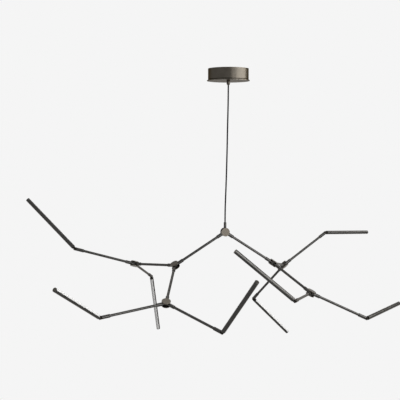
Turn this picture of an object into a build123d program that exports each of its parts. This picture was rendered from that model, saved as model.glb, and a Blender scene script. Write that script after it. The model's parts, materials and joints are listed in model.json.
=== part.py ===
from build123d import *
import os
from math import degrees, pi, radians, sqrt, tan

# Branching LED pendant light, in millimetres, +Z up.
# The origin is on the canopy's axis in the plane of the ceiling, so the light hangs below z = 0.
# A cord carries the top hub. Each hub carries two arms and swivels on the arm above it, down to
# eight elbows that swivel on the last arms, and eight LED heads that tilt on the elbow pins.

# Canopy
DRUM_D = 150.0
DRUM_H = 42.0
DRUM_WALL = 1.5
LIP = 4.0  # how far the bottom plate stands out past the drum
LIP_CHAMFER = 1.2
LIP_EDGE = 0.4
PLATE_T = 3.0
RING_W = 2.0  # ring on the plate that centres the drum
RING_H = 2.0
RING_FIT = 0.15

# Ceiling bracket, threaded nipple and nuts
BRACKET_L = 112.0
BRACKET_W = 24.0
BRACKET_T = 2.0
BRACKET_CORNER = 6.0
SLOT_SPACING = 88.9  # screw spacing of a round ceiling box
SLOT_L = 15.0
SLOT_W = 4.8
NIPPLE_D = 10.0
NIPPLE_WALL = 1.5
NUT_FLATS = 14.0
NUT_T = 4.0
THREAD_FIT = 0.05

# Driver and terminal block, which stand on the bottom plate inside the ring
DRIVER_L = 86.0
DRIVER_W = 30.0
DRIVER_H = 22.0
DRIVER_CLEAR = 2.0  # corners of the case to the ring
DRIVER_EDGE = 2.0
DRIVER_NOSE_D = 8.0
DRIVER_NOSE_L = 5.0
TERMINAL_PITCH = 9.0
TERMINAL_WAYS = 3
TERMINAL_W = 16.0
TERMINAL_H = 14.0
TERMINAL_STEP = 4.0
TERMINAL_X = -34.0
TERMINAL_CLEAR = 8.0  # outer corner of the block to the ring
TERMINAL_WIRE_D = 3.4
TERMINAL_SCREW_D = 4.2

# Leads in the canopy: one from the driver to the nipple, two from the terminal block to the driver
LAMP_LEAD_D = 4.0
LAMP_LEAD_CLEAR = 0.3  # lead to its hole in the nipple
MAINS_LEAD_D = 2.4
MAINS_LEAD_PITCH = 4.0
MAINS_LEAD_GRIP = 3.0  # length of a lead in its terminal
MAINS_LEAD_STRAIGHT = 10.0  # before a lead enters its terminal
MAINS_LEAD_SLANT = 16.0  # along y, where a lead comes down to its terminal
LEAD_BEND = 9.0
LEAD_START = 1.0  # straight length out of the driver before the first bend

# Cord, its gland under the canopy and its ferrule on the top hub
CORD_D = 5.5
CORD_FIT = 0.1
CORD_SEAT = 6.0  # length of cord held inside the gland's nose and inside the ferrule
GLAND_D = 13.0
GLAND_L = 10.0
GLAND_NOSE_D = 8.0
GLAND_NOSE_L = 5.0
GLAND_SOCKET = 7.0
LEAD_HOLE_D = 4.0
FERRULE_D = 10.0
FERRULE_SPIGOT_D = 8.0
FERRULE_SEAT = 7.0  # hub centre to the flat floor that the ferrule stands on
CORD_ROUTE = [
    (0.0, 0.0, -54.0),
    (0.0, 0.0, -97.0),
    (-1.0, 0.0, -155.0),
    (-2.6, 0.0, -218.0),
    (-3.6, 0.0, -284.0),
    (-5.2, 0.0, -350.0),
    (-7.0, 0.0, -416.0),
    (-9.2, 0.0, -474.0),
    (-11.0, 0.0, -528.0),
    (-11.0, 0.0, -574.0),
]
ARC_SHARE = 0.45  # share of the shorter run that each bend of the cord takes up

# Hubs
HUB_D = 32.0
HUB_PLATE_T = 3.2
HUB_EDGE = 0.5
CORE_D = 18.0
BARREL_REACH = 36.0  # hub centre to the open end of a barrel
BARREL_WALL = 1.5
BARREL_CLEAR = 0.2  # barrel to plate
SOCKET_DEPTH = 22.0
LEAD_BORE_D = 5.0
SPIGOT_D = 8.0  # of a plate or a barrel, in the core
SPIGOT_L = 3.0
BARREL_SPIGOT_L = 4.5

# Arms
RIM_EDGE = 0.4  # chamfer at the open end of a barrel, a sleeve or a cap
ARM_D = 9.5
ARM_WALL = 1.0
MAIN_ARM = 225.0  # hub centre to hub centre
LINK_ARM = 225.0
LAMP_ARM = 238.0  # hub centre to elbow pivot
SWIVEL_FIT = 0.05  # radial, where a sleeve turns on an arm
PRESS_FIT = 0.02  # radial, where an arm or a plate is fixed in a hub
END_PLAY = 0.3  # arm end to the floor of the sleeve that turns on it

# Elbows
SLEEVE_REACH = 35.0  # pivot to the open end of the sleeve
SLEEVE_SOCKET = 20.0
CHEEK_R = 5.0
CHEEK_T = 3.0
CHEEK_GAP = 1.5  # round end of the tongue's slot to the flat end of the sleeve
TONGUE_R = 4.5
TONGUE_T = 4.0
TONGUE_FIT = 0.1
PIN_D = 3.0

# LED heads
LAMP_D = 15.0
LAMP_REACH = 268.0  # pivot to tip
SWING_GAP = 0.7  # head to sleeve when it is tilted square to the arm
INNER_CAP_T = 5.0
OUTER_CAP_T = 3.0
PLUG_L = 4.0
PLUG_FIT = 0.1
CHANNEL_WALL = 1.3
WEB_T = 1.2
WEB_Y = -1.5
DIFFUSER_HALF_ANGLE = 44.0
DIFFUSER_T = 2.0
DIFFUSER_FIT = 0.15
HOOK_T = 0.8
HOOK_OVERLAP = 4.0  # degrees that a hook reaches under the diffuser's own edge
HOOK_REACH = 10.0  # degrees that a hook reaches behind the channel's lip
BOARD_W = 8.0
BOARD_T = 1.0
BOARD_END_GAP = 1.0
CHIP_COUNT = 14
CHIP_L = 3.0
CHIP_W = 2.8
CHIP_T = 0.8

# Pose in the photograph, in degrees
HUB_OFFSET_X = -11.0  # the cord leans a little, so the top hub hangs off the canopy's axis
CEILING_TO_HUB = 604.0
YAW = 13.0
TOP_SPREAD = {-1: 58.0, 1: 57.0}  # arms of the top hub from straight down
HUB_SPREAD = 60.0  # arms of every other hub from the line of the arm above
HUB_PARENT = {1: (0, -1), 2: (0, 1), 3: (1, -1), 4: (1, 1), 5: (2, -1), 6: (2, 1)}
HUB_SWIVEL = {1: 75.0, 2: -82.0, 3: -124.0, 4: -30.0, 5: 9.0, 6: -77.0}
ELBOW_PARENT = {
    1: (3, -1),
    2: (3, 1),
    3: (4, -1),
    4: (4, 1),
    5: (6, -1),
    6: (6, 1),
    7: (5, -1),
    8: (5, 1),
}
ELBOW_SWIVEL = {1: -71.0, 2: 84.0, 3: 74.0, 4: 86.0, 5: -35.0, 6: -132.0, 7: 164.0, 8: 19.0}
ELBOW_BEND = {1: 36.0, 2: 45.0, 3: 52.0, 4: 69.0, 5: 36.0, 6: 65.0, 7: 64.0, 8: 48.0}

# Sizes that follow from the ones above
PLATE_TOP_Z = -DRUM_H
PLATE_BOTTOM_Z = PLATE_TOP_Z - PLATE_T
GLAND_TIP_Z = PLATE_BOTTOM_Z - GLAND_L - GLAND_NOSE_L
NIPPLE_BOTTOM_Z = PLATE_BOTTOM_Z - GLAND_SOCKET
NIPPLE_HOLE_R = NIPPLE_D / 2 + THREAD_FIT
NIPPLE_BORE_R = NIPPLE_D / 2 - NIPPLE_WALL
RING_OUTER_R = DRUM_D / 2 - DRUM_WALL - RING_FIT
RING_INNER_R = RING_OUTER_R - RING_W
DRIVER_Y = sqrt((RING_INNER_R - DRIVER_CLEAR) ** 2 - (DRIVER_L / 2) ** 2) - DRIVER_W / 2
DRIVER_END = DRIVER_L / 2 + DRIVER_NOSE_L
TERMINAL_L = TERMINAL_PITCH * TERMINAL_WAYS
TERMINAL_FAR_X = abs(TERMINAL_X) + TERMINAL_L / 2
TERMINAL_Y = TERMINAL_W / 2 - sqrt((RING_INNER_R - TERMINAL_CLEAR) ** 2 - TERMINAL_FAR_X**2)
TERMINAL_WIRE_Z = PLATE_TOP_Z + (TERMINAL_H - TERMINAL_STEP) / 2
LEAD_Z = PLATE_TOP_Z + DRIVER_H / 2
LEAD_TURN_X = DRIVER_END + LEAD_START + LEAD_BEND
BARREL_D = ARM_D + 2 * (SWIVEL_FIT + BARREL_WALL)
HUB_GAP = BARREL_D + 2 * BARREL_CLEAR
ARM_SEAT = BARREL_REACH - SOCKET_DEPTH
SLEEVE_FLOOR = SLEEVE_REACH - SLEEVE_SOCKET
SLEEVE_FLAT = CHEEK_R + CHEEK_GAP
FORK_SLOT = TONGUE_T + 2 * TONGUE_FIT
FORK_W = FORK_SLOT + 2 * CHEEK_T
LAMP_START = BARREL_D / 2 + SWING_GAP
CHANNEL_START = LAMP_START + INNER_CAP_T
CHANNEL_END = LAMP_REACH - OUTER_CAP_T
CHANNEL_BORE_R = LAMP_D / 2 - CHANNEL_WALL
WEB_BACK = WEB_Y - WEB_T / 2
WEB_FRONT = WEB_Y + WEB_T / 2


def rod(diameter, start, end):
    """Round bar along x."""
    return Pos((start + end) / 2, 0, 0) * Rot(0, 90, 0) * Cylinder(diameter / 2, end - start)


def post(radius, low, high):
    """Round bar along z."""
    return Pos(0, 0, (low + high) / 2) * Cylinder(radius, high - low)


def eased(bar, end):
    """Round bar along x with a chamfered rim at its low end, 0, or its high end, -1."""
    return chamfer(bar.faces().sort_by(Axis.X)[end].edges(), RIM_EDGE)


def tube_along(points, diameter, radii):
    """Round tube along straight runs joined by arcs, and the line that it follows."""
    path = FilletPolyline(*points, radius=radii)
    section = Plane(origin=points[0], z_dir=points[1] - points[0]) * Circle(diameter / 2)
    return sweep(section, path=path), path


def turned(outline):
    """Solid turned about z from points of radius and height."""
    face = make_face(Polyline(*[(r, 0, z) for r, z in outline], close=True))
    return revolve(face, Axis.Z)


def ceiling_bracket():
    """Crossbar with two slots, and the hollow nipple with a side hole for the lead and two nuts."""
    outline = RectangleRounded(BRACKET_L, BRACKET_W, BRACKET_CORNER)
    for side in (-1, 1):
        outline -= Pos(side * SLOT_SPACING / 2, 0) * SlotOverall(SLOT_L, SLOT_W)
    outline -= Circle(NIPPLE_HOLE_R)
    bar = extrude(Pos(0, 0, -BRACKET_T) * outline, BRACKET_T)
    nipple = post(NIPPLE_D / 2, NIPPLE_BOTTOM_Z, 0) - post(NIPPLE_BORE_R, NIPPLE_BOTTOM_Z, 0)
    nipple -= Pos(0, 0, LEAD_Z) * rod(LAMP_LEAD_D + 2 * LAMP_LEAD_CLEAR, 0, NIPPLE_D)
    hexagon = RegularPolygon(NUT_FLATS / 2, 6, major_radius=False) - Circle(NIPPLE_HOLE_R)
    nut = extrude(hexagon, NUT_T)
    return [bar, nipple, Pos(0, 0, -BRACKET_T - NUT_T) * nut, Pos(0, 0, PLATE_TOP_Z) * nut]


def canopy_shell():
    """Round band, open at the ceiling, that stands on the bottom plate."""
    return [post(DRUM_D / 2, PLATE_TOP_Z, 0) - post(DRUM_D / 2 - DRUM_WALL, PLATE_TOP_Z, 0)]


def canopy_plate():
    """Bottom plate: its rim shows as a lip, and a ring on it centres the drum."""
    rim = DRUM_D / 2 + LIP
    outline = [
        (NIPPLE_HOLE_R, PLATE_BOTTOM_Z),
        (rim - LIP_EDGE, PLATE_BOTTOM_Z),
        (rim, PLATE_BOTTOM_Z + LIP_EDGE),
        (rim, PLATE_TOP_Z - LIP_CHAMFER),
        (rim - LIP_CHAMFER, PLATE_TOP_Z),
        (RING_OUTER_R, PLATE_TOP_Z),
        (RING_OUTER_R, PLATE_TOP_Z + RING_H),
        (RING_INNER_R, PLATE_TOP_Z + RING_H),
        (RING_INNER_R, PLATE_TOP_Z),
        (NIPPLE_HOLE_R, PLATE_TOP_Z),
    ]
    return [turned(outline)]


def led_driver():
    """Driver case with a cable nose at each end, and the leads that come out of the noses."""
    case = Box(DRIVER_L, DRIVER_W, DRIVER_H, align=(Align.CENTER, Align.CENTER, Align.MIN))
    case = fillet(case.edges().filter_by(Axis.Z), DRIVER_EDGE)
    case += Pos(0, 0, DRIVER_H / 2) * rod(DRIVER_NOSE_D, -DRIVER_END, DRIVER_END)
    mains_leads = [mains_lead(way, side) for way, side in ((0, 1), (1, -1))]
    return [Pos(0, DRIVER_Y, PLATE_TOP_Z) * case, lamp_lead(), *mains_leads]


def lamp_lead():
    """Lead from the driver's right nose, round to the side hole of the nipple."""
    points = [
        Vector(DRIVER_END, DRIVER_Y, LEAD_Z),
        Vector(LEAD_TURN_X, DRIVER_Y, LEAD_Z),
        Vector(LEAD_TURN_X, 0, LEAD_Z),
        Vector(NIPPLE_BORE_R, 0, LEAD_Z),
    ]
    lead, path = tube_along(points, LAMP_LEAD_D, LEAD_BEND)
    return lead


def mains_lead(way, side):
    """Lead from the driver's left nose, on one side of its middle, round and down to a terminal."""
    offset = side * MAINS_LEAD_PITCH / 2
    turn_x = -LEAD_TURN_X - offset
    terminal_x = TERMINAL_X + terminal_offset(way)
    face_y = TERMINAL_Y + TERMINAL_W / 2
    straight_y = face_y + MAINS_LEAD_STRAIGHT
    points = [
        Vector(-DRIVER_END, DRIVER_Y + offset, LEAD_Z),
        Vector(turn_x, DRIVER_Y + offset, LEAD_Z),
        Vector(turn_x, straight_y + MAINS_LEAD_SLANT, LEAD_Z),
        Vector(terminal_x, straight_y, TERMINAL_WIRE_Z),
        Vector(terminal_x, face_y - MAINS_LEAD_GRIP, TERMINAL_WIRE_Z),
    ]
    lead, path = tube_along(points, MAINS_LEAD_D, [LEAD_BEND + offset, LEAD_BEND, LEAD_BEND])
    return lead


def terminal_offset(way):
    """Place of one way of the terminal block along x, from the block's middle."""
    return (way - (TERMINAL_WAYS - 1) / 2) * TERMINAL_PITCH


def terminal_block():
    """Screw terminal block: wires enter at both sides, screws stand in wells on a raised middle."""
    half = TERMINAL_W / 2
    step = TERMINAL_STEP
    outline = [
        (-half, 0),
        (half, 0),
        (half, TERMINAL_H - step),
        (half - step, TERMINAL_H),
        (step - half, TERMINAL_H),
        (-half, TERMINAL_H - step),
    ]
    section = make_face(Polyline(*outline, close=True))
    block = extrude(Plane.YZ * section, TERMINAL_L / 2, both=True)
    wire_z = TERMINAL_WIRE_Z - PLATE_TOP_Z
    for way in range(TERMINAL_WAYS):
        x = terminal_offset(way)
        wire_hole = Rot(90, 0, 0) * Cylinder(TERMINAL_WIRE_D / 2, TERMINAL_W)
        block -= Pos(x, 0, wire_z) * wire_hole
        block -= Pos(x, 0, 0) * post(TERMINAL_SCREW_D / 2, wire_z, TERMINAL_H)
    return [Pos(TERMINAL_X, TERMINAL_Y, PLATE_TOP_Z) * block]


def cord_gland():
    """Gland screwed on the nipple under the plate, with a tapered nose that grips the cord."""
    shoulder_z = GLAND_TIP_Z + CORD_SEAT
    cord_hole = CORD_D / 2 + CORD_FIT
    outline = [
        (NIPPLE_HOLE_R, PLATE_BOTTOM_Z),
        (GLAND_D / 2, PLATE_BOTTOM_Z),
        (GLAND_D / 2, PLATE_BOTTOM_Z - GLAND_L),
        (GLAND_NOSE_D / 2, GLAND_TIP_Z),
        (cord_hole, GLAND_TIP_Z),
        (cord_hole, shoulder_z),
        (LEAD_HOLE_D / 2, shoulder_z),
        (LEAD_HOLE_D / 2, NIPPLE_BOTTOM_Z),
        (NIPPLE_HOLE_R, NIPPLE_BOTTOM_Z),
    ]
    return [turned(outline)]


def cord():
    """Cord from the gland's shoulder to the ferrule's shoulder, in straight runs and large arcs."""
    points = [Vector(*p) for p in CORD_ROUTE]
    runs = [b - a for a, b in zip(points, points[1:])]
    radii = []
    for before, after in zip(runs, runs[1:]):
        half_turn = radians(before.get_angle(after)) / 2
        radii.append(ARC_SHARE * min(before.length, after.length) / tan(half_turn))
    print("cord radii, mm:", [round(r) for r in radii])
    tube, path = tube_along(points, CORD_D, radii)
    section_area = pi * CORD_D**2 / 4
    print("cord length, mm:", round(path.length, 1))
    print("cord volume over section times length:", round(tube.volume / (section_area * path.length), 5))
    return [tube]


def hub_plates():
    """The two round plates of a hub, each held by a spigot in the core."""
    inner = HUB_GAP / 2
    outer = inner + HUB_PLATE_T
    outline = [
        (0, inner - SPIGOT_L),
        (SPIGOT_D / 2, inner - SPIGOT_L),
        (SPIGOT_D / 2, inner),
        (HUB_D / 2, inner),
        (HUB_D / 2, outer - HUB_EDGE),
        (HUB_D / 2 - HUB_EDGE, outer),
        (0, outer),
    ]
    plate = turned(outline)
    return [plate, Rot(180, 0, 0) * plate]


def hub_drum(turns):
    """Drum in the middle of a hub: recesses for the plates' spigots and holes for the barrels'."""
    recess = SPIGOT_D / 2 + PRESS_FIT
    drum = post(CORE_D / 2, -HUB_GAP / 2, HUB_GAP / 2)
    drum -= post(recess, HUB_GAP / 2 - SPIGOT_L, HUB_GAP / 2)
    drum -= post(recess, -HUB_GAP / 2, SPIGOT_L - HUB_GAP / 2)
    for turn in turns:
        drum -= Rot(0, 0, turn) * rod(2 * recess, CORE_D / 2 - BARREL_SPIGOT_L, CORE_D / 2)
        drum -= Rot(0, 0, turn) * rod(LEAD_BORE_D, 0, CORE_D / 2)
    return drum


def hub_barrel(fit):
    """Barrel along x: coped to the drum, with a spigot in it and a socket for an arm."""
    barrel = eased(rod(BARREL_D, 0, BARREL_REACH), -1)
    barrel -= post(CORE_D / 2 + PRESS_FIT, -BARREL_D, BARREL_D)
    barrel += rod(SPIGOT_D, CORE_D / 2 - BARREL_SPIGOT_L, ARM_SEAT)
    barrel -= rod(ARM_D + 2 * fit, ARM_SEAT, BARREL_REACH)
    return barrel - rod(LEAD_BORE_D, 0, ARM_SEAT)


def hub_core(fixed_turns, swivel_turns):
    """Drum with barrels: arms are fixed in some, and one turns on the arm above."""
    barrels = [Rot(0, 0, turn) * hub_barrel(PRESS_FIT) for turn in fixed_turns]
    barrels += [Rot(0, 0, turn) * hub_barrel(SWIVEL_FIT) for turn in swivel_turns]
    return [hub_drum(fixed_turns + swivel_turns), *barrels]


def cord_ferrule():
    """Ferrule on the top hub, along -x: a spigot in the core and a bore for the cord."""
    shoulder = CORD_SEAT - BARREL_REACH
    spigot_end = SPIGOT_L - FERRULE_SEAT
    ferrule = rod(FERRULE_D, -BARREL_REACH, -FERRULE_SEAT)
    ferrule += rod(FERRULE_SPIGOT_D, -FERRULE_SEAT, spigot_end)
    ferrule -= rod(CORD_D + 2 * CORD_FIT, -BARREL_REACH, shoulder)
    ferrule -= rod(LEAD_HOLE_D, shoulder, spigot_end)
    return ferrule


def top_hub_core():
    """Core of the top hub: two barrels, and the cord's ferrule in a stepped hole on top."""
    drum, *barrels = hub_core([TOP_SPREAD[1], -TOP_SPREAD[-1]], [])
    drum -= rod(FERRULE_D + 2 * PRESS_FIT, -CORE_D / 2, -FERRULE_SEAT)
    drum -= rod(FERRULE_SPIGOT_D + 2 * PRESS_FIT, -FERRULE_SEAT, SPIGOT_L - FERRULE_SEAT)
    drum -= rod(LEAD_BORE_D, SPIGOT_L - FERRULE_SEAT, 0)
    return [drum, *barrels, cord_ferrule()]


def branch_hub_core():
    """Core of the six swivelling hubs: two fixed arms, and the barrel that turns on the arm above."""
    return hub_core([HUB_SPREAD, -HUB_SPREAD], [180.0])


def arm(length, far_seat):
    """Tube along x from its seat in a hub to its end in the sleeve that turns on it."""
    start = ARM_SEAT
    end = length - far_seat - END_PLAY
    return rod(ARM_D, start, end) - rod(ARM_D - 2 * ARM_WALL, start, end)


def elbow():
    """Sleeve that turns on a lamp arm, with a fork at its end, and the pin through the fork."""
    cheeks = Pos(-SLEEVE_FLAT / 2, 0, 0) * Box(SLEEVE_FLAT, 2 * CHEEK_R, FORK_W)
    cheeks += post(CHEEK_R, -FORK_W / 2, FORK_W / 2)
    cheeks &= rod(BARREL_D, -SLEEVE_FLAT, CHEEK_R)
    fork = eased(rod(BARREL_D, -SLEEVE_REACH, -SLEEVE_FLAT), 0) + cheeks
    slot_l = SLEEVE_FLAT + CHEEK_R
    fork -= Pos((CHEEK_R - SLEEVE_FLAT) / 2, 0, 0) * Box(slot_l, BARREL_D, FORK_SLOT)
    fork -= rod(ARM_D + 2 * SWIVEL_FIT, -SLEEVE_REACH, -SLEEVE_FLOOR)
    fork -= post(PIN_D / 2 + PRESS_FIT, -FORK_W / 2, FORK_W / 2)
    pin = post(PIN_D / 2, -FORK_W / 2, FORK_W / 2)
    return [fork, pin]


def across(x):
    """Plane square to a head at x: its first axis faces out of the diffuser, its second is the pin's."""
    return Plane(origin=(x, 0, 0), x_dir=(0, 1, 0), z_dir=(1, 0, 0))


def wedge(half_angle):
    """Triangle from the head's axis that covers the angles on both sides of the diffuser's middle."""
    far = LAMP_D
    side = far * tan(radians(half_angle))
    return make_face(Polyline((0, 0), (far, -side), (far, side), close=True))


def lamp_channel():
    """Extruded round channel with a slot for the diffuser and a web that carries the LED board."""
    section = Circle(LAMP_D / 2) - Circle(CHANNEL_BORE_R) - wedge(DIFFUSER_HALF_ANGLE)
    web = Pos(WEB_Y, 0) * Rectangle(WEB_T, LAMP_D)
    section += web & Circle(LAMP_D / 2 - CHANNEL_WALL / 2)
    return extrude(across(CHANNEL_START) * section, CHANNEL_END - CHANNEL_START)


def cap_plug():
    """Outline of the plug that fits the channel behind its web."""
    back = WEB_BACK - PLUG_FIT
    round_part = Circle(CHANNEL_BORE_R - PLUG_FIT)
    return round_part & Pos(back - LAMP_D / 2, 0) * Rectangle(LAMP_D, LAMP_D)


def inner_cap():
    """Inner end cap with its plug and the hinge tongue that turns on the elbow pin."""
    cap = eased(rod(LAMP_D, LAMP_START, CHANNEL_START), 0)
    cap += extrude(across(CHANNEL_START) * cap_plug(), PLUG_L)
    tongue = Pos(LAMP_START / 2, 0, 0) * Box(LAMP_START, 2 * TONGUE_R, TONGUE_T)
    tongue += post(TONGUE_R, -TONGUE_T / 2, TONGUE_T / 2)
    cap += tongue
    return cap - post(PIN_D / 2 + SWIVEL_FIT, -TONGUE_T / 2, TONGUE_T / 2)


def outer_cap():
    """Plain end cap at the tip, with its plug."""
    cap = eased(rod(LAMP_D, CHANNEL_END, LAMP_REACH), -1)
    return cap + extrude(across(CHANNEL_END) * cap_plug(), -PLUG_L)


def lamp_housing():
    return [lamp_channel(), inner_cap(), outer_cap()]


def lamp_diffuser():
    """Frosted strip flush with the channel, with a hook behind each lip of the channel."""
    edge = DIFFUSER_HALF_ANGLE - degrees(DIFFUSER_FIT / (LAMP_D / 2))
    section = (Circle(LAMP_D / 2) - Circle(LAMP_D / 2 - DIFFUSER_T)) & wedge(edge)
    hook_r = CHANNEL_BORE_R - DIFFUSER_FIT
    hook = Circle(hook_r) - Circle(hook_r - HOOK_T)
    hook = hook & wedge(DIFFUSER_HALF_ANGLE + HOOK_REACH)
    section += hook - wedge(DIFFUSER_HALF_ANGLE - HOOK_OVERLAP)
    return [extrude(across(CHANNEL_START) * section, CHANNEL_END - CHANNEL_START)]


def led_board():
    """Board on the channel's web, with a row of LED chips."""
    start = CHANNEL_START + BOARD_END_GAP
    length = CHANNEL_END - CHANNEL_START - 2 * BOARD_END_GAP
    strip = Pos(start + length / 2, WEB_FRONT + BOARD_T / 2, 0) * Box(length, BOARD_T, BOARD_W)
    pitch = length / CHIP_COUNT
    for i in range(CHIP_COUNT):
        x = start + (i + 0.5) * pitch
        strip += Pos(x, WEB_FRONT + BOARD_T + CHIP_T / 2, 0) * Box(CHIP_L, CHIP_T, CHIP_W)
    return [strip]


def place(location, solids):
    return [location * solid for solid in solids]


# Where every hub, elbow and head sits, worked out from the ceiling down
top_plane = Plane(origin=(0, 0, 0), x_dir=(0, 0, -1), z_dir=(0, -1, 0))
hub_at = {0: Pos(HUB_OFFSET_X, 0, -CEILING_TO_HUB) * Rot(0, 0, YAW) * top_plane.location}
arm_at = {}
for hub, (above, side) in HUB_PARENT.items():
    spread = TOP_SPREAD[side] if above == 0 else HUB_SPREAD
    reach = MAIN_ARM if above == 0 else LINK_ARM
    arm_at[above, side] = hub_at[above] * Rot(0, 0, side * spread)
    hub_at[hub] = arm_at[above, side] * Pos(reach, 0, 0) * Rot(HUB_SWIVEL[hub], 0, 0)
elbow_at = {}
lamp_at = {}
for head, (above, side) in ELBOW_PARENT.items():
    arm_at[above, side] = hub_at[above] * Rot(0, 0, side * HUB_SPREAD)
    elbow_at[head] = arm_at[above, side] * Pos(LAMP_ARM, 0, 0) * Rot(ELBOW_SWIVEL[head], 0, 0)
    lamp_at[head] = elbow_at[head] * Rot(0, 0, ELBOW_BEND[head])


def arm_pair(hub, length, far_seat):
    """The two arms that a hub carries."""
    return [arm_at[hub, side] * arm(length, far_seat) for side in (-1, 1)]


nodes = {
    "ceiling_bracket": ceiling_bracket(),
    "canopy_shell": canopy_shell(),
    "canopy_plate": canopy_plate(),
    "led_driver": led_driver(),
    "terminal_block": terminal_block(),
    "cord_gland": cord_gland(),
    "cord": cord(),
    "hub_0_plates": place(hub_at[0], hub_plates()),
    "hub_0_core": place(hub_at[0], top_hub_core()),
    "main_arms": arm_pair(0, MAIN_ARM, ARM_SEAT),
}
plates = hub_plates()
branch_core = branch_hub_core()
for hub in HUB_PARENT:
    nodes[f"hub_{hub}_plates"] = place(hub_at[hub], plates)
    nodes[f"hub_{hub}_core"] = place(hub_at[hub], branch_core)
    if hub in (1, 2):
        nodes[f"hub_{hub}_link_arms"] = arm_pair(hub, LINK_ARM, ARM_SEAT)
    else:
        nodes[f"hub_{hub}_lamp_arms"] = arm_pair(hub, LAMP_ARM, SLEEVE_FLOOR)
elbow_solids = elbow()
housing_solids = lamp_housing()
diffuser_solids = lamp_diffuser()
board_solids = led_board()
for head in ELBOW_PARENT:
    nodes[f"elbow_{head}"] = place(elbow_at[head], elbow_solids)
    nodes[f"lamp_{head}_housing"] = place(lamp_at[head], housing_solids)
    nodes[f"lamp_{head}_diffuser"] = place(lamp_at[head], diffuser_solids)
    nodes[f"lamp_{head}_led_board"] = place(lamp_at[head], board_solids)

os.makedirs("parts", exist_ok=True)
for name, solids in nodes.items():
    export_step(Compound(label=name, children=solids), f"parts/{name}.step")
print(len(nodes), "nodes,", sum(len(solids) for solids in nodes.values()), "pieces")
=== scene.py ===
import json
import math

import bmesh
import bpy
from bpy.props import FloatProperty, FloatVectorProperty, PointerProperty
from bpy.types import Operator, Panel, PropertyGroup
from mathutils import Matrix, Vector

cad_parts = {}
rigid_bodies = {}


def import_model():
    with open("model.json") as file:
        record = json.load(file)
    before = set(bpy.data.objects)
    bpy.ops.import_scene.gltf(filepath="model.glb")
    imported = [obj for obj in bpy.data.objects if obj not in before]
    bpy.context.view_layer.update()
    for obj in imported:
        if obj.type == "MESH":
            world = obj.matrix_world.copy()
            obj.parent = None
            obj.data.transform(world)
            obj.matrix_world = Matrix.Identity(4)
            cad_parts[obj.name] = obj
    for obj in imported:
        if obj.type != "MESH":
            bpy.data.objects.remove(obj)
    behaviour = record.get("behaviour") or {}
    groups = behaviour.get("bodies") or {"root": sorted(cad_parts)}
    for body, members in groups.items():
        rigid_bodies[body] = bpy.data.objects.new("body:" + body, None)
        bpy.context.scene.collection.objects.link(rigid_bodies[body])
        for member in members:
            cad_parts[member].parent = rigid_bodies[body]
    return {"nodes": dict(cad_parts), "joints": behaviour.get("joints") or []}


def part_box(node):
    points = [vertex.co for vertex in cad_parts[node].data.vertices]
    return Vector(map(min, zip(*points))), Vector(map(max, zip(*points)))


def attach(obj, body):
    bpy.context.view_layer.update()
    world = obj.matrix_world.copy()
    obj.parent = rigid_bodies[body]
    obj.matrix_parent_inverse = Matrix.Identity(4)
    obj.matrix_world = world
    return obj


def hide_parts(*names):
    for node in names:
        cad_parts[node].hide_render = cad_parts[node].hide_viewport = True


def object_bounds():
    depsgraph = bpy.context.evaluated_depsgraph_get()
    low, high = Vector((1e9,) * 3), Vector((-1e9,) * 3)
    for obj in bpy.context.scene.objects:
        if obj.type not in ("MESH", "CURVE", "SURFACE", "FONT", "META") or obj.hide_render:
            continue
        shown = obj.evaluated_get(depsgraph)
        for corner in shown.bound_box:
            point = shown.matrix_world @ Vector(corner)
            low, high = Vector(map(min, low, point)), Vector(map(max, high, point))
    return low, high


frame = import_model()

bl_info = {
    "name": "Branching LED Pendant",
    "version": (1, 0, 0),
    "blender": (4, 5, 0),
    "location": "View3D > Sidebar > Pendant",
    "description": "Finishes a branching LED pendant light: bronze, opal diffusers, cord and fixings",
    "category": "Object",
}

CAD_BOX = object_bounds()
MM = 0.001
RIGHT = Vector((1, 0, 0))
REAR = Vector((0, 1, 0))
UP = Vector((0, 0, 1))

# The light's pieces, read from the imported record
NODES = frame["nodes"]
JOINTS = {joint["name"]: joint for joint in frame["joints"]}
HUBS = range(7)
HEADS = range(1, 9)
HANGING = "hanging_frame"

# The cord's route, from the gland's shoulder to the ferrule's, in metres
CORD_ROUTE = [
    (0.0, 0.0, -0.054),
    (0.0, 0.0, -0.097),
    (-0.001, 0.0, -0.155),
    (-0.0026, 0.0, -0.218),
    (-0.0036, 0.0, -0.284),
    (-0.0052, 0.0, -0.350),
    (-0.007, 0.0, -0.416),
    (-0.0092, 0.0, -0.474),
    (-0.011, 0.0, -0.528),
    (-0.011, 0.0, -0.574),
]

# The driver's case inside the canopy, and the bend of the leads beside it, in metres
DRIVER_REACH = 0.0481
DRIVER_FRONT = 0.0242
LEAD_BEND_CENTRE = (-0.049, 0.0304)
LEAD_BEND = 0.009

# The leads' slanted end: its length from front to rear in metres, and its sideways run as a share of that
LEAD_SLANT_LENGTH = 0.016
LEAD_SLANT = 1.22

# Where most of the soft light comes from, overhead and a little from behind, and the cosines of the
# angle to it at which that light starts and is full
OVERHEAD = Vector((0.1, 0.45, 0.89))
OVERHEAD_SPAN = (-0.7, 0.9)

# Texture scales, in features per metre, from the broad ones to the fine ones
FLOOR_MOTTLE = 3.0
OPAL_CLOUD = 30.0
PATINA = 38.0
MOULDING_CLOUD = 60.0
CORD_DUST = 120.0
ZINC_CLOUD = 140.0
EDGE_WEAR = 260.0
SCREW_CLOUD = 700.0
BLASTING = 900.0
BRUSHING = 1400.0
TURNING = 1500.0
MOULDED_GRAIN = 1600.0
FINE_GRAIN = 2400.0
FROST = 3200.0
TURNED_GRAIN = 4000.0

# Share of a texture's length that is left along the direction in which a surface was worked
BRUSHED = 0.02
DRAWN = 0.03
RUBBED = 0.05

# Densities of a noise at which what it carries starts and is full
CLOUD_SPAN = (0.3, 0.7)
PATINA_SPAN = (0.30, 0.72)
WEAR_SPAN = (0.36, 0.62)
DUST_SPAN = (0.45, 0.8)

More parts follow.
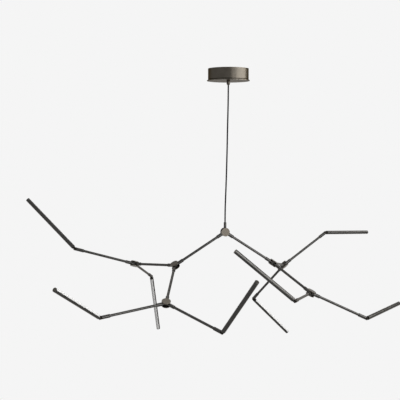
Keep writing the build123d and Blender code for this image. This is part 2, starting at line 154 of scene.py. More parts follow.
# Share of a knuckle's radius at which its black starts to fade
KNUCKLE_FADE = 0.9

# Depths of the fine relief, in metres
FROST_DEPTH = 0.006 * MM
TURNED_DEPTH = 0.008 * MM
RUBBED_DEPTH = 0.010 * MM
BRUSHED_DEPTH = 0.012 * MM
MOULDED_DEPTH = 0.030 * MM

# Widths of worn edges, and how far above a drum's end the painted shade of its seam starts and is full,
# in metres
RIM_WEAR = 1.1 * MM
END_WEAR = 1.4 * MM
SEAM_SHADE_START = 4.6 * MM
SEAM_SHADE_FULL = 2.0 * MM

# Depths below an LED chip's top at which its phosphor starts and is full, in metres
CHIP_START = 0.5 * MM
CHIP_FULL = 0.3 * MM

# How near the farthest point of a head, or the open end of a barrel, its rim is measured, in metres
TIP_RIM = 0.05 * MM
BARREL_RIM = 2.0 * MM

# Points round a screw, and the angle in radians from which an edge of a small piece stays sharp
SCREW_POINTS = 24
SHARP_ANGLE = math.radians(30)

# The terminal block's screws: the length of a shank in metres, and each slot's turn in degrees
TERMINAL_SHANK = 3.0 * MM
TERMINAL_TURNS = (25, 75, 125)

# The camera's sensor, in millimetres
SENSOR_WIDTH = 36.0

# The floor: its radius and where it fades out in metres, the points of its edge, and its tones
FLOOR_RADIUS = 2.0
FLOOR_POINTS = 96
FLOOR_FADE = (0.9, 1.9)
FLOOR_TONES = ((0.45, 0.45, 0.45), (0.47, 0.47, 0.47))


class PendantFinish(PropertyGroup):
    """Colours and surface of every finish on the light."""

    bronze_dark: FloatVectorProperty(
        name="Bronze, dark",
        description="Darkest tone of the satin bronze",
        subtype="COLOR",
        default=(0.051, 0.045, 0.037),
    )
    bronze_light: FloatVectorProperty(
        name="Bronze, light",
        description="Lightest tone of the satin bronze",
        subtype="COLOR",
        default=(0.071, 0.064, 0.054),
    )
    tube_dark: FloatVectorProperty(
        name="Tubes, dark",
        description="Darkest tone of the arms, elbows and heads, which are greyer than the hubs",
        subtype="COLOR",
        default=(0.038, 0.037, 0.035),
    )
    tube_light: FloatVectorProperty(
        name="Tubes, light",
        description="Lightest tone of the arms, elbows and heads",
        subtype="COLOR",
        default=(0.056, 0.055, 0.052),
    )
    bronze_bare: FloatVectorProperty(
        name="Bronze, worn",
        description="Metal that shows where an edge is rubbed",
        subtype="COLOR",
        default=(0.12, 0.108, 0.09),
    )
    # Painted shade for the seam above the canopy's plate, and the darker colour near the hinge pins of
    # elbows and heads
    bronze_seam_shade_and_knuckle: FloatVectorProperty(
        name="Bronze, seam",
        description="Dark tarnish in the seam above the canopy's plate and on the knuckles",
        subtype="COLOR",
        default=(0.012, 0.010, 0.008),
    )
    bronze_edge: FloatVectorProperty(
        name="Bronze, edge",
        description="Tint of what the hub plates mirror at a grazing view",
        subtype="COLOR",
        default=(0.95, 0.93, 0.90),
    )
    tube_edge: FloatVectorProperty(
        name="Tubes, edge",
        description="Tint of what the arms, elbows and heads mirror at a grazing view",
        subtype="COLOR",
        default=(0.74, 0.72, 0.69),
    )
    canopy_edge: FloatVectorProperty(
        name="Canopy, edge",
        description="Tint of what the lacquered canopy mirrors at a grazing view",
        subtype="COLOR",
        default=(0.42, 0.39, 0.35),
    )
    bronze_roughness: FloatProperty(
        name="Bronze roughness",
        description="Mean roughness of the satin bronze",
        subtype="FACTOR",
        min=0.0,
        max=1.0,
        default=0.31,
    )
    tube_roughness: FloatProperty(
        name="Tube roughness",
        description="Mean roughness of the arms, elbows and heads",
        subtype="FACTOR",
        min=0.0,
        max=1.0,
        default=0.25,
    )
    # Within this distance of a hinge pin the tube colour is drawn darker
    knuckle_radius: FloatProperty(
        name="Knuckle radius",
        description="Distance from a hinge pin to the edge of the blackened knuckle",
        subtype="DISTANCE",
        unit="LENGTH",
        default=9.0 * MM,
    )
    opal: FloatVectorProperty(
        name="Opal",
        description="Frosted plastic of the diffusers",
        subtype="COLOR",
        default=(0.80, 0.795, 0.78),
    )
    sheath: FloatVectorProperty(
        name="Cord sheath",
        description="Black sheath of the supply cord",
        subtype="COLOR",
        default=(0.009, 0.009, 0.010),
    )
    zinc: FloatVectorProperty(
        name="Zinc",
        description="Plating of the ceiling bracket, its nipple and nuts",
        subtype="COLOR",
        default=(0.58, 0.59, 0.60),
    )
    driver_case: FloatVectorProperty(
        name="Driver case",
        description="Moulded case of the LED driver",
        subtype="COLOR",
        default=(0.74, 0.74, 0.72),
    )
    lamp_lead: FloatVectorProperty(
        name="Lamp lead",
        description="Grey sheath of the lead from the driver to the nipple",
        subtype="COLOR",
        default=(0.24, 0.24, 0.245),
    )
    live_lead: FloatVectorProperty(
        name="Live lead",
        description="Black lead from the terminal block to the driver",
        subtype="COLOR",
        default=(0.02, 0.02, 0.02),
    )
    neutral_lead: FloatVectorProperty(
        name="Neutral lead",
        description="White lead from the terminal block to the driver",
        subtype="COLOR",
        default=(0.78, 0.78, 0.76),
    )
    nylon: FloatVectorProperty(
        name="Nylon",
        description="Terminal block",
        subtype="COLOR",
        default=(0.80, 0.79, 0.74),
    )
    board: FloatVectorProperty(
        name="LED board",
        description="White solder mask of the LED boards",
        subtype="COLOR",
        default=(0.82, 0.82, 0.80),
    )
    phosphor: FloatVectorProperty(
        name="LED chips",
        description="Yellow phosphor of the LED chips",
        subtype="COLOR",
        default=(0.83, 0.62, 0.12),
    )
    brass: FloatVectorProperty(
        name="Brass",
        description="Screws of the terminal block",
        subtype="COLOR",
        default=(0.72, 0.55, 0.27),
    )
    black_steel: FloatVectorProperty(
        name="Black steel",
        description="Blackened set screws",
        subtype="COLOR",
        default=(0.07, 0.068, 0.066),
    )


class PendantFixings(PropertyGroup):
    """Sizes of the cord and of the small fixings."""

    cord_diameter: FloatProperty(
        name="Cord diameter",
        description="Outside diameter of the cord's sheath",
        subtype="DISTANCE",
        unit="LENGTH",
        default=5.5 * MM,
    )
    set_screw_diameter: FloatProperty(
        name="Set screw diameter",
        description="Thread diameter of the set screws in barrels and sleeves",
        subtype="DISTANCE",
        unit="LENGTH",
        default=3.0 * MM,
    )
    set_screw_key: FloatProperty(
        name="Set screw key",
        description="Width across the flats of a set screw's key socket",
        subtype="DISTANCE",
        unit="LENGTH",
        default=1.5 * MM,
    )
    set_screw_setback: FloatProperty(
        name="Set screw setback",
        description="Distance from a barrel's open end to its set screw",
        subtype="DISTANCE",
        unit="LENGTH",
        default=8.0 * MM,
    )
    terminal_screw_diameter: FloatProperty(
        name="Terminal screw diameter",
        description="Head of the slotted screws in the terminal block",
        subtype="DISTANCE",
        unit="LENGTH",
        default=3.6 * MM,
    )
    terminal_screw_depth: FloatProperty(
        name="Terminal screw depth",
        description="Screw head below the top of its well",
        subtype="DISTANCE",
        unit="LENGTH",
        default=3.5 * MM,
    )


class PendantStage(PropertyGroup):
    """Camera, background, floor and studio light."""

    camera_place: FloatVectorProperty(
        name="Camera place",
        description="Where the camera stands",
        subtype="TRANSLATION",
        unit="LENGTH",
        default=(-0.1044, -3.0318, -0.2841),
    )
    camera_pitch: FloatProperty(
        name="Camera pitch",
        description="Angle of the camera below the horizon",
        subtype="ANGLE",
        unit="ROTATION",
        default=0.066,
    )
    camera_lens: FloatProperty(
        name="Camera lens",
        description="Focal length on a sensor 36 mm wide",
        unit="CAMERA",
        default=73.494,
    )
    backdrop: FloatVectorProperty(
        name="Backdrop",
        description="Pale colour behind the light",
        subtype="COLOR",
        default=(0.913, 0.913, 0.913),
    )
    room_light: FloatProperty(
        name="Room light",
        description="Soft light from overhead, as a share of the backdrop",
        subtype="FACTOR",
        min=0.0,
        max=1.0,
        default=0.42,
    )
    front_light: FloatProperty(
        name="Front light",
        description="Soft light from the front and from below, as a share of the room light",
        subtype="FACTOR",
        min=0.0,
        max=1.0,
        default=0.55,
    )
    key_place: FloatVectorProperty(
        name="Key lamp",
        description="Place of the large soft lamp at the right",
        subtype="TRANSLATION",
        unit="LENGTH",
        default=(2.23, -0.56, 0.14),
    )
    key_size: FloatVectorProperty(
        name="Key lamp size",
        description="Width and height of the large soft lamp",
        size=2,
        unit="LENGTH",
        default=(3.2, 0.5),
    )
    key_power: FloatProperty(
        name="Key power",
        description="Power of the large soft lamp at the right",
        unit="POWER",
        default=49.0,
    )
    front_place: FloatVectorProperty(
        name="Front lamp",
        description="Place of the tall soft lamp at the right of the camera",
        subtype="TRANSLATION",
        unit="LENGTH",
        default=(1.17, -2.2, -0.45),
    )
    front_size: FloatVectorProperty(
        name="Front lamp size",
        description="Width and height of the tall soft lamp",
        size=2,
        unit="LENGTH",
        default=(0.8, 1.3),
    )
    front_power: FloatProperty(
        name="Front power",
        description="Power of the tall soft lamp",
        unit="POWER",
        default=19.0,
    )
    top_place: FloatVectorProperty(
        name="Top lamp",
        description="Place of the soft lamp overhead",
        subtype="TRANSLATION",
        unit="LENGTH",
        default=(0.0, 0.6, 1.5),
    )
    top_size: FloatVectorProperty(
        name="Top lamp size",
        description="Width and height of the soft lamp overhead",
        size=2,
        unit="LENGTH",
        default=(1.6, 1.6),
    )
    top_power: FloatProperty(
        name="Top power",
        description="Power of the soft lamp overhead",
        unit="POWER",
        default=12.0,
    )
    floor_glow: FloatProperty(
        name="Floor glow",
        description="What is seen of the floor beyond the light on it, as a share of the backdrop",
        subtype="FACTOR",
        min=0.0,
        max=1.0,
        default=0.56,
    )
    floor_drop: FloatProperty(
        name="Floor",
        description="Distance from the ceiling to the floor",
        subtype="DISTANCE",
        unit="LENGTH",
        default=2.45,
    )


class Reading:
    """An output socket of a node tree. Arithmetic on readings adds Math nodes."""

    def __init__(self, tree, socket):
        self.tree = tree
        self.socket = socket

    def math(self, operation, *values):
        return self.tree.node("ShaderNodeMath", {"operation": operation}, dict(enumerate(values)))

    def __add__(self, other):
        return self.math("ADD", self, other)

    __radd__ = __add__

    def __sub__(self, other):
        return self.math("SUBTRACT", self, other)

    def __rsub__(self, other):
        return self.math("SUBTRACT", other, self)

    def __mul__(self, other):
        return self.math("MULTIPLY", self, other)

    __rmul__ = __mul__

    def __gt__(self, other):
        return self.math("GREATER_THAN", self, other)

    def at_least(self, other):
        return self.math("MAXIMUM", self, other)

    def at_most(self, other):
        return self.math("MINIMUM", self, other)


def scaled(colour, share):
    """A colour made darker or lighter."""
    return tuple(channel * share for channel in colour)


def opaque(colour):
    """Four channels for a colour of three, and a reading as it is."""
    return colour if isinstance(colour, Reading) else (*colour, 1.0)


class NodeTree:
    """The nodes of one material or of the world."""

    def __init__(self, owner):
        owner.use_nodes = True
        self.nodes = owner.node_tree.nodes
        self.links = owner.node_tree.links
        self.nodes.clear()

    def node(self, kind, settings, values, output=0):
        """Adds a node: its settings first, then the values or links of its sockets."""
        made = self.nodes.new(kind)
        for name, setting in settings.items():
            setattr(made, name, setting)
        for name, value in values.items():
            if isinstance(value, Reading):
                self.links.new(value.socket, made.inputs[name])
            else:
                made.inputs[name].default_value = value
        return Reading(self, made.outputs[output]) if made.outputs else None

    def place(self):
        """Position on the piece, in the part's own frame."""
        return self.node("ShaderNodeTexCoord", {}, {}, "Object")

    def vector(self, operation, values, output=0):
        return self.node("ShaderNodeVectorMath", {"operation": operation}, values, output)

    def from_point(self, point):
        return self.vector("SUBTRACT", {0: self.place(), 1: point})

    def dot(self, vector, direction):
        return self.vector("DOT_PRODUCT", {0: vector, 1: direction}, "Value")

    def stretched(self, vector, direction, keep):
        """The vector with only a share of its length left along a direction."""
        surplus = self.dot(vector, direction) * (1 - keep)
        along = self.vector("SCALE", {0: direction, "Scale": surplus})
        return self.vector("SUBTRACT", {0: vector, 1: along})

    def off_axis(self, vector, direction):
        """Distance from an axis through the vector's origin."""
        return self.vector("LENGTH", {0: self.stretched(vector, direction, 0.0)}, "Value")

    def either(self, second, first_vector, second_vector):
        values = {0: second, 4: first_vector, 5: second_vector}
        return self.node("ShaderNodeMix", {"data_type": "VECTOR"}, values, 1)

    def noise(self, vector, scale, detail=2.0, roughness=0.5):
        values = {"Vector": vector, "Scale": scale, "Detail": detail, "Roughness": roughness}
        return self.node("ShaderNodeTexNoise", {"noise_dimensions": "3D"}, values)

    def lines(self, distance, scale):
        """Noise along one distance only, which reads as fine parallel lines."""
        values = {"W": distance, "Scale": scale, "Detail": 3.0}
        return self.node("ShaderNodeTexNoise", {"noise_dimensions": "1D"}, values)

    def ramp(self, value, low, high):
        """0 below low, 1 above high, smooth in between."""
        settings = {"interpolation_type": "SMOOTHSTEP"}
        return self.node("ShaderNodeMapRange", settings, {0: value, 1: low, 2: high})

    def mix(self, amount, low, high):
        values = {0: amount, 6: opaque(low), 7: opaque(high)}
        return self.node("ShaderNodeMix", {"data_type": "RGBA"}, values, 2)

    def clouded(self, cloud, colour, share):
        """A colour that drops to a share of itself where the cloud is thin."""
        return self.mix(self.ramp(cloud, *CLOUD_SPAN), scaled(colour, share), colour)

    def bump(self, height, depth):
        return self.node("ShaderNodeBump", {}, {"Height": height, "Distance": depth})

    def seen(self):
        """1 for what the camera, metal or a clear piece sees, and 0 for what only lights a surface."""
        camera = self.node("ShaderNodeLightPath", {}, {}, "Is Camera Ray")
        glossy = self.node("ShaderNodeLightPath", {}, {}, "Is Glossy Ray")
        through = self.node("ShaderNodeLightPath", {}, {}, "Is Transmission Ray")
        return (camera + glossy + through).at_most(1.0)

    def surface(self, **values):
        """Principled shader on the material's output. Socket names have _ for a space."""
        sockets = {name.replace("_", " "): value for name, value in values.items()}
        shader = self.node("ShaderNodeBsdfPrincipled", {}, sockets)
        self.node("ShaderNodeOutputMaterial", {}, {"Surface": shader})


def middle(node):
    low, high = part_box(node)
    return (low + high) / 2


def hub_body(hub):
    return HANGING if hub == 0 else f"hub_{hub}_branch"


def hub_centre(hub):
    return middle("hub_0_plates") if hub == 0 else Vector(JOINTS[f"hub_{hub}_swivel"]["pos_m"])


def arms_of(hub):
    """Directions, outwards, of the two arms that a hub carries."""
    return [Vector(joint["axis"]) for joint in JOINTS.values() if joint["parent"] == hub_body(hub)]


def hub_axis(hub):
    """Direction square to a hub's plates."""
    first, second = arms_of(hub)
    return first.cross(second).normalized()


def arm_node(hub):
    if hub == 0:
        return "main_arms"
    return f"hub_{hub}_link_arms" if hub in (1, 2) else f"hub_{hub}_lamp_arms"


def lamp_pivot(head):
    return Vector(JOINTS[f"lamp_{head}_tilt"]["pos_m"])


def lamp_axis(head):
    """Direction of an LED head, from its pivot to the middle of its tip."""
    pivot = lamp_pivot(head)
    points = [vertex.co - pivot for vertex in NODES[f"lamp_{head}_housing"].data.vertices]
    reach = max(point.length for point in points)
    rim = [point for point in points if point.length > reach - TIP_RIM]
    return sum(rim, Vector()).normalized()


def lamp_facing(head):
    """Direction that the middle of a head's diffuser faces."""
    pin = Vector(JOINTS[f"lamp_{head}_tilt"]["axis"])
    return pin.cross(lamp_axis(head)).normalized()


def reach_along(node, centre, direction):
    """How far a node reaches from a point along a direction."""
    return max((vertex.co - centre).dot(direction) for vertex in NODES[node].data.vertices)


def new_material(name):
    material = bpy.data.materials.new(name)
    return material, NodeTree(material)


def dress(node, material):
    """Gives a CAD node its finish."""
    slots = NODES[node].data.materials
    slots.clear()
    slots.append(material)


def canopy_tones(finish):
    """Dark and light tone, roughness and edge tint of the canopy."""
    return finish.bronze_dark, finish.bronze_light, finish.bronze_roughness, finish.canopy_edge


def bronze_tones(finish):
    """Dark and light tone, roughness and edge tint of the hub plates."""
    return finish.bronze_dark, finish.bronze_light, finish.bronze_roughness, finish.bronze_edge


def tube_tones(finish):
    """Dark and light tone, roughness and edge tint of the hub cores, arms, elbows and heads."""
    return finish.tube_dark, finish.tube_light, finish.tube_roughness, finish.tube_edge


def satin_bronze(name, finish, tones, streaks_on, worn_on=None, shade_and_knuckle_on=None):
    """Dark bronze, brushed and lacquered: streaks, a mottled patina, rubbed edges, painted shade along a
    seam and darkening near a hinge pin.
    """
    material, tree = new_material(name)
    dark, light, mean_roughness, edge = tones(finish)
    streaks = streaks_on(tree)
    patina = tree.noise(tree.place(), PATINA, 5.0, 0.62)
    grain = tree.noise(tree.place(), FINE_GRAIN, 1.0)
    tone = tree.ramp(patina, *PATINA_SPAN) * 0.55 + streaks * 0.35 + grain * 0.10
    colour = tree.mix(tone, dark, light)
    roughness = mean_roughness + (streaks - 0.5) * 0.10 + (patina - 0.5) * 0.16
    if worn_on:
        worn = worn_on(tree) * tree.ramp(tree.noise(tree.place(), EDGE_WEAR, 3.0), *WEAR_SPAN)
        colour = tree.mix(worn * 0.5, colour, finish.bronze_bare)
        roughness = roughness - worn * 0.08
    # Painted shade along the canopy's seam, and darkening near the hinge pins of elbows and heads
    if shade_and_knuckle_on:
        colour = tree.mix(shade_and_knuckle_on(tree) * (0.75 + patina * 0.3), colour, finish.bronze_seam_shade_and_knuckle)
    normal = tree.bump(streaks * 0.7 + grain * 0.3, BRUSHED_DEPTH)
    tree.surface(
        Base_Color=colour,
        Metallic=1.0,
        Roughness=roughness,
        Normal=normal,
        Specular_Tint=opaque(edge),
    )
    return material


def around_axis(centre, axis):
    """Lines turned on a lathe: rings about an axis."""

    def streaks(tree):
        return tree.lines(tree.off_axis(tree.from_point(centre), axis), TURNING)

    return streaks


def up_axis(centre, axis):
    """Lines that run round a drum, one above another."""

    def streaks(tree):
        return tree.lines(tree.dot(tree.from_point(centre), axis), TURNING)

    return streaks


def along_axes(centre, axes):
    """Lines brushed lengthwise, on one bar or on the nearer of two bars that meet at a point."""

    def streaks(tree):
        place = tree.from_point(centre)
        drawn = tree.stretched(place, axes[0], BRUSHED)
        if len(axes) > 1:
            second = tree.dot(place, axes[1]) > tree.dot(place, axes[0])
            drawn = tree.either(second, drawn, tree.stretched(place, axes[1], BRUSHED))
        return tree.noise(drawn, BRUSHING, 3.0)

    return streaks


def blasted(tree):
    """Fine even grain of a blasted casting."""
    return tree.noise(tree.place(), BLASTING, 3.0)


def rim_of(centre, axis, radius):
    """Rubbed edge of a disc."""

    def worn(tree):
        return tree.ramp(tree.off_axis(tree.from_point(centre), axis), radius - RIM_WEAR, radius)

    return worn


def end_of(centre, axis, reach):
    """Rubbed edge at the far end of a bar."""

    def worn(tree):
        return tree.ramp(tree.dot(tree.from_point(centre), axis), reach - END_WEAR, reach)

    return worn


def seam_shade_at(centre, axis, reach):
    """Painted shade along the end of a drum that sits on another piece, where the seam between them is.
    """

    def seam(tree):
        height = tree.dot(tree.from_point(centre), axis)
        return tree.ramp(height, reach - SEAM_SHADE_START, reach - SEAM_SHADE_FULL)

    return seam


def knuckle_at(pivot, radius):
    """Darker colour within a few millimetres of a hinge pin."""

    def seam(tree):
        distance = tree.vector("LENGTH", {0: tree.from_point(pivot)}, "Value")
        return 1 - tree.ramp(distance, KNUCKLE_FADE * radius, radius)

    return seam


def frosted_opal(finish):
    """Satin opal plastic with a faint unevenness and a fine frosted surface."""
    material, tree = new_material("frosted_opal")
    cloud = tree.noise(tree.place(), OPAL_CLOUD, 3.0)
    frost = tree.noise(tree.place(), FROST, 2.0)
    colour = tree.clouded(cloud, finish.opal, 0.93)
    roughness = 0.46 + frost * 0.12
    normal = tree.bump(frost, FROST_DEPTH)
    tree.surface(Base_Color=colour, Roughness=roughness, Normal=normal)
    return material


def cord_sheath(finish):
    """Matt black sheath with faint lengthwise drawing marks and dust."""
    material, tree = new_material("cord_sheath")
    drawn = tree.noise(tree.stretched(tree.place(), UP, DRAWN), TURNING, 2.0)
    dust = tree.noise(tree.place(), CORD_DUST, 4.0, 0.6)
    colour = tree.mix(tree.ramp(dust, *DUST_SPAN), finish.sheath, scaled(finish.sheath, 2.6))
    roughness = 0.46 + dust * 0.16
    normal = tree.bump(drawn * 0.6 + dust * 0.4, MOULDED_DEPTH)
    tree.surface(Base_Color=colour, Roughness=roughness, Normal=normal, Specular_IOR_Level=0.1)
    return material


def zinc_plate(finish):
    """Bright zinc plating: cloudy tone and crossed rubbing marks."""
    material, tree = new_material("zinc_plate")
    cloud = tree.noise(tree.place(), ZINC_CLOUD, 4.0, 0.6)
    rubbed = tree.noise(tree.stretched(tree.place(), RIGHT, RUBBED), BLASTING, 3.0)
    colour = tree.clouded(cloud, finish.zinc, 0.72)
    roughness = 0.26 + cloud * 0.16 + rubbed * 0.10
    normal = tree.bump(rubbed, RUBBED_DEPTH)
    tree.surface(Base_Color=colour, Metallic=1.0, Roughness=roughness, Normal=normal)
    return material


def terminal_nylon(finish):
    """Milky nylon with a fine eroded texture and slight clouding."""
    material, tree = new_material("terminal_nylon")
    cloud = tree.noise(tree.place(), MOULDING_CLOUD, 3.0)
    grain = tree.noise(tree.place(), FINE_GRAIN, 2.0)
    tone = tree.clouded(cloud, finish.nylon, 0.9)
    roughness = 0.42 + grain * 0.2
    normal = tree.bump(grain, MOULDED_DEPTH)
    tree.surface(Base_Color=tone, Roughness=roughness, Normal=normal, Subsurface_Weight=0.2)
    return material


def driver_and_leads(finish):
    """Moulded driver case, the grey lead at its right and the black and white leads at its left."""
    material, tree = new_material("driver_case")
    place = tree.place()
    x = tree.dot(place, RIGHT)
    y = tree.dot(place, REAR)
    centre_x, centre_y = LEAD_BEND_CENTRE
    slanted = x - (0 - y).at_least(0.0).at_most(LEAD_SLANT_LENGTH) * LEAD_SLANT - centre_x
    above = (y - centre_y).at_least(0.0)
    outer = (slanted * slanted + above * above) > LEAD_BEND**2
    mains = tree.mix(outer, finish.neutral_lead, finish.live_lead)
    lead = tree.mix(x > 0.0, mains, finish.lamp_lead)
    inside = (x > -DRIVER_REACH) * (DRIVER_REACH - x > 0.0) * (y > DRIVER_FRONT)
    cloud = tree.noise(place, MOULDING_CLOUD, 3.0)
    grain = tree.noise(place, MOULDED_GRAIN, 2.0)
    case = tree.clouded(cloud, finish.driver_case, 0.9)
    roughness = 0.42 + grain * 0.2
    normal = tree.bump(grain, MOULDED_DEPTH)
    tree.surface(Base_Color=tree.mix(inside, lead, case), Roughness=roughness, Normal=normal)
    return material


def turned_metal(name, colour, roughness_mean):
    """Small turned screws: fine grain and a rubbed, uneven tone."""
    material, tree = new_material(name)
    cloud = tree.noise(tree.place(), SCREW_CLOUD, 3.0)
    grain = tree.noise(tree.place(), TURNED_GRAIN, 2.0)
    tone = tree.clouded(cloud, colour, 0.6)
    roughness = roughness_mean + (cloud - 0.5) * 0.2
    normal = tree.bump(grain, TURNED_DEPTH)
    tree.surface(Base_Color=tone, Metallic=1.0, Roughness=roughness, Normal=normal)
    return material


def led_board(head, finish):
    """White solder mask, with yellow phosphor on the chips that stand out of it."""
    material, tree = new_material(f"led_board_{head}")
    facing = lamp_facing(head)
    top = reach_along(f"lamp_{head}_led_board", lamp_pivot(head), facing)
    depth = tree.dot(tree.from_point(lamp_pivot(head)), facing)
    chip = tree.ramp(depth, top - CHIP_START, top - CHIP_FULL)
    speckle = tree.noise(tree.place(), MOULDED_GRAIN, 2.0)
    mask = tree.clouded(speckle, finish.board, 0.86)
    colour = tree.mix(chip, mask, finish.phosphor)
    roughness = 0.35 + speckle * 0.2
    normal = tree.bump(speckle, RUBBED_DEPTH)
    tree.surface(Base_Color=colour, Roughness=roughness, Normal=normal)
    return material


def ring(count, radius, height, sides=0):
    """Points round a circle, or round a polygon that has this radius inside, at one height."""
    points = []
    for i in range(count):
        angle = 2 * math.pi * i / count
        reach = radius
        if sides:
            sector = 2 * math.pi / sides
            reach = radius / math.cos(angle % sector - sector / 2)
        points.append(Vector((reach * math.cos(angle), reach * math.sin(angle), height)))
    return points


def slot_ring(count, length, width, height):
    """Points round a narrow rectangle, in step with the points of a ring."""
    points = []
    for point in ring(count, 1.0, height):
        x = max(-0.5, min(0.5, point.x)) * length
        y = max(-0.5, min(0.5, point.y)) * width
        points.append(Vector((x, y, height)))
    return points


def add_rings(mesh, rings, matrix):
    """Closed skin over rings of points, with a flat face at each end."""
    loops = [[mesh.verts.new(matrix @ point) for point in points] for points in rings]
    for lower, upper in zip(loops, loops[1:]):
        for i in range(len(lower)):
            j = (i + 1) % len(lower)
            mesh.faces.new((lower[i], lower[j], upper[j], upper[i]))
    mesh.faces.new(reversed(loops[0]))
    mesh.faces.new(loops[-1])


def new_piece(name, mesh, material, body):
    """Object from a finished bmesh, which moves with a body."""
    data = bpy.data.meshes.new(name)
    mesh.to_mesh(data)
    mesh.free()
    data.shade_smooth()
    data.set_sharp_from_angle(angle=SHARP_ANGLE)
    data.materials.append(material)
    piece = bpy.data.objects.new(name, data)
    bpy.context.scene.collection.objects.link(piece)
    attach(piece, body)


def set_screw_rings(diameter, key):
    """Set screw with its top at height 0: chamfered rim and a key socket."""
    count = SCREW_POINTS
    radius = diameter / 2
    chamfer = 0.12 * diameter
    depth = 0.8 * diameter
    return [
        ring(count, radius, -depth),
        ring(count, radius, -chamfer),
        ring(count, radius - chamfer, 0.0),
        ring(count, key / 2, 0.0, sides=6),
        ring(count, key / 2, -0.5 * depth, sides=6),
    ]


def slotted_screw_rings(diameter, shank):
    """Cheese-head screw with its top at height 0: rounded rim, slot and shank."""
    count = SCREW_POINTS
    radius = diameter / 2
    chamfer = 0.1 * diameter
    head = 0.5 * diameter
    slot_width = 0.22 * diameter
    return [
        ring(count, 0.55 * radius, -head - shank),
        ring(count, 0.55 * radius, -head),
        ring(count, radius, -head),
        ring(count, radius, -chamfer),
        ring(count, radius - chamfer, 0.0),
        slot_ring(count, 1.5 * radius, slot_width, 0.0),
        slot_ring(count, 1.5 * radius, slot_width, -0.5 * head),
    ]


def rear_side(direction):
    """The direction, or its reverse, that points away from the camera."""
    return direction if direction.y > 0 else -direction


def facing_matrix(place, outward):
    """Matrix that stands a screw at a place, with its top outwards."""
    return Matrix.Translation(place) @ outward.to_track_quat("Z", "X").to_matrix().to_4x4()


def barrel_radius(node, centre, direction):
    """Radius of a barrel, behind the eased edge of its open end."""
    reach = reach_along(node, centre, direction)
    points = [vertex.co - centre for vertex in NODES[node].data.vertices]
    rim = [point for point in points if point.dot(direction) > reach - BARREL_RIM]
    return max((point - direction * point.dot(direction)).length for point in rim)


def set_screws(name, node, centre, directions, outward, body, fixings, material):
    """One set screw near the open end of each barrel, on one side of it."""
    mesh = bmesh.new()
    for direction in directions:
        reach = reach_along(node, centre, direction) - fixings.set_screw_setback
        radius = barrel_radius(node, centre, direction)
        side = (outward - direction * outward.dot(direction)).normalized()
        place = centre + direction * reach + side * radius
        rings = set_screw_rings(fixings.set_screw_diameter, fixings.set_screw_key)
        add_rings(mesh, rings, facing_matrix(place, side))
    new_piece(name, mesh, material, body)


class PENDANT_OT_dress_canopy(Operator):
    """Finish the canopy's drum, its bottom plate and the cord gland"""

    bl_idname = "pendant.dress_canopy"
    bl_label = "Dress Canopy"

    def execute(self, context):
        finish = context.scene.pendant_finish
        origin = Vector()
        low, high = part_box("canopy_shell")
        drum = satin_bronze(
            "bronze_drum",
            finish,
            canopy_tones,
            up_axis(origin, UP),
            end_of(origin, UP, high.z),
            # Painted shade in the seam above the plate, on the drum's lowest few millimetres
            seam_shade_at(origin, -UP, -low.z),
        )
        dress("canopy_shell", drum)
        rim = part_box("canopy_plate")[1].x
        plate = satin_bronze(
            "bronze_canopy_plate",
            finish,
            canopy_tones,
            around_axis(origin, UP),
            rim_of(origin, UP, rim),
        )
        dress("canopy_plate", plate)
        dress("cord_gland", satin_bronze("bronze_gland", finish, canopy_tones, up_axis(origin, UP)))
        return {"FINISHED"}


class PENDANT_OT_dress_ceiling_fittings(Operator):
    """Finish the bracket, driver and terminal block inside the canopy"""

    bl_idname = "pendant.dress_ceiling_fittings"
    bl_label = "Dress Ceiling Fittings"

    def execute(self, context):
        finish = context.scene.pendant_finish
        dress("ceiling_bracket", zinc_plate(finish))
        dress("led_driver", driver_and_leads(finish))
        dress("terminal_block", terminal_nylon(finish))
        return {"FINISHED"}


class PENDANT_OT_hang_cord(Operator):
    """Hang the supply cord from the gland to the top hub"""

    bl_idname = "pendant.hang_cord"
    bl_label = "Hang Cord"

    def execute(self, context):
        diameter = context.scene.pendant_fixings.cord_diameter
        curve = bpy.data.curves.new("supply_cord", "CURVE")
        curve.dimensions = "3D"
        spline = curve.splines.new("NURBS")
        spline.points.add(len(CORD_ROUTE) - 1)
        for point, place in zip(spline.points, CORD_ROUTE):
            point.co = (*place, 1.0)
        spline.order_u = 3
        spline.use_endpoint_u = True
        spline.resolution_u = 12
        curve.bevel_depth = diameter / 2
        curve.bevel_resolution = 6
        curve.use_fill_caps = True
        curve.materials.append(cord_sheath(context.scene.pendant_finish))
        cord = bpy.data.objects.new("supply_cord", curve)
        context.scene.collection.objects.link(cord)
        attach(cord, HANGING)
        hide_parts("cord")
        return {"FINISHED"}


class PENDANT_OT_dress_hubs(Operator):
    """Finish the plates and the core of every hub"""

    bl_idname = "pendant.dress_hubs"
    bl_label = "Dress Hubs"

    def execute(self, context):
        finish = context.scene.pendant_finish
        core = satin_bronze("bronze_hub_core", finish, tube_tones, blasted)
        for hub in HUBS:
            centre = hub_centre(hub)
            axis = hub_axis(hub)
            across = axis.orthogonal().normalized()
            radius = reach_along(f"hub_{hub}_plates", centre, across)
            plates = satin_bronze(
                f"bronze_hub_{hub}_plates",
                finish,
                bronze_tones,
                around_axis(centre, axis),
                rim_of(centre, axis, radius),
            )
            dress(f"hub_{hub}_plates", plates)
            dress(f"hub_{hub}_core", core)
        return {"FINISHED"}


class PENDANT_OT_dress_arms(Operator):
    """Finish the arms that the hubs carry"""

    bl_idname = "pendant.dress_arms"
    bl_label = "Dress Arms"

    def execute(self, context):
        finish = context.scene.pendant_finish
        for hub in HUBS:
            brushed = along_axes(hub_centre(hub), arms_of(hub))
            arms = satin_bronze(f"bronze_{arm_node(hub)}", finish, tube_tones, brushed)
            dress(arm_node(hub), arms)
        return {"FINISHED"}


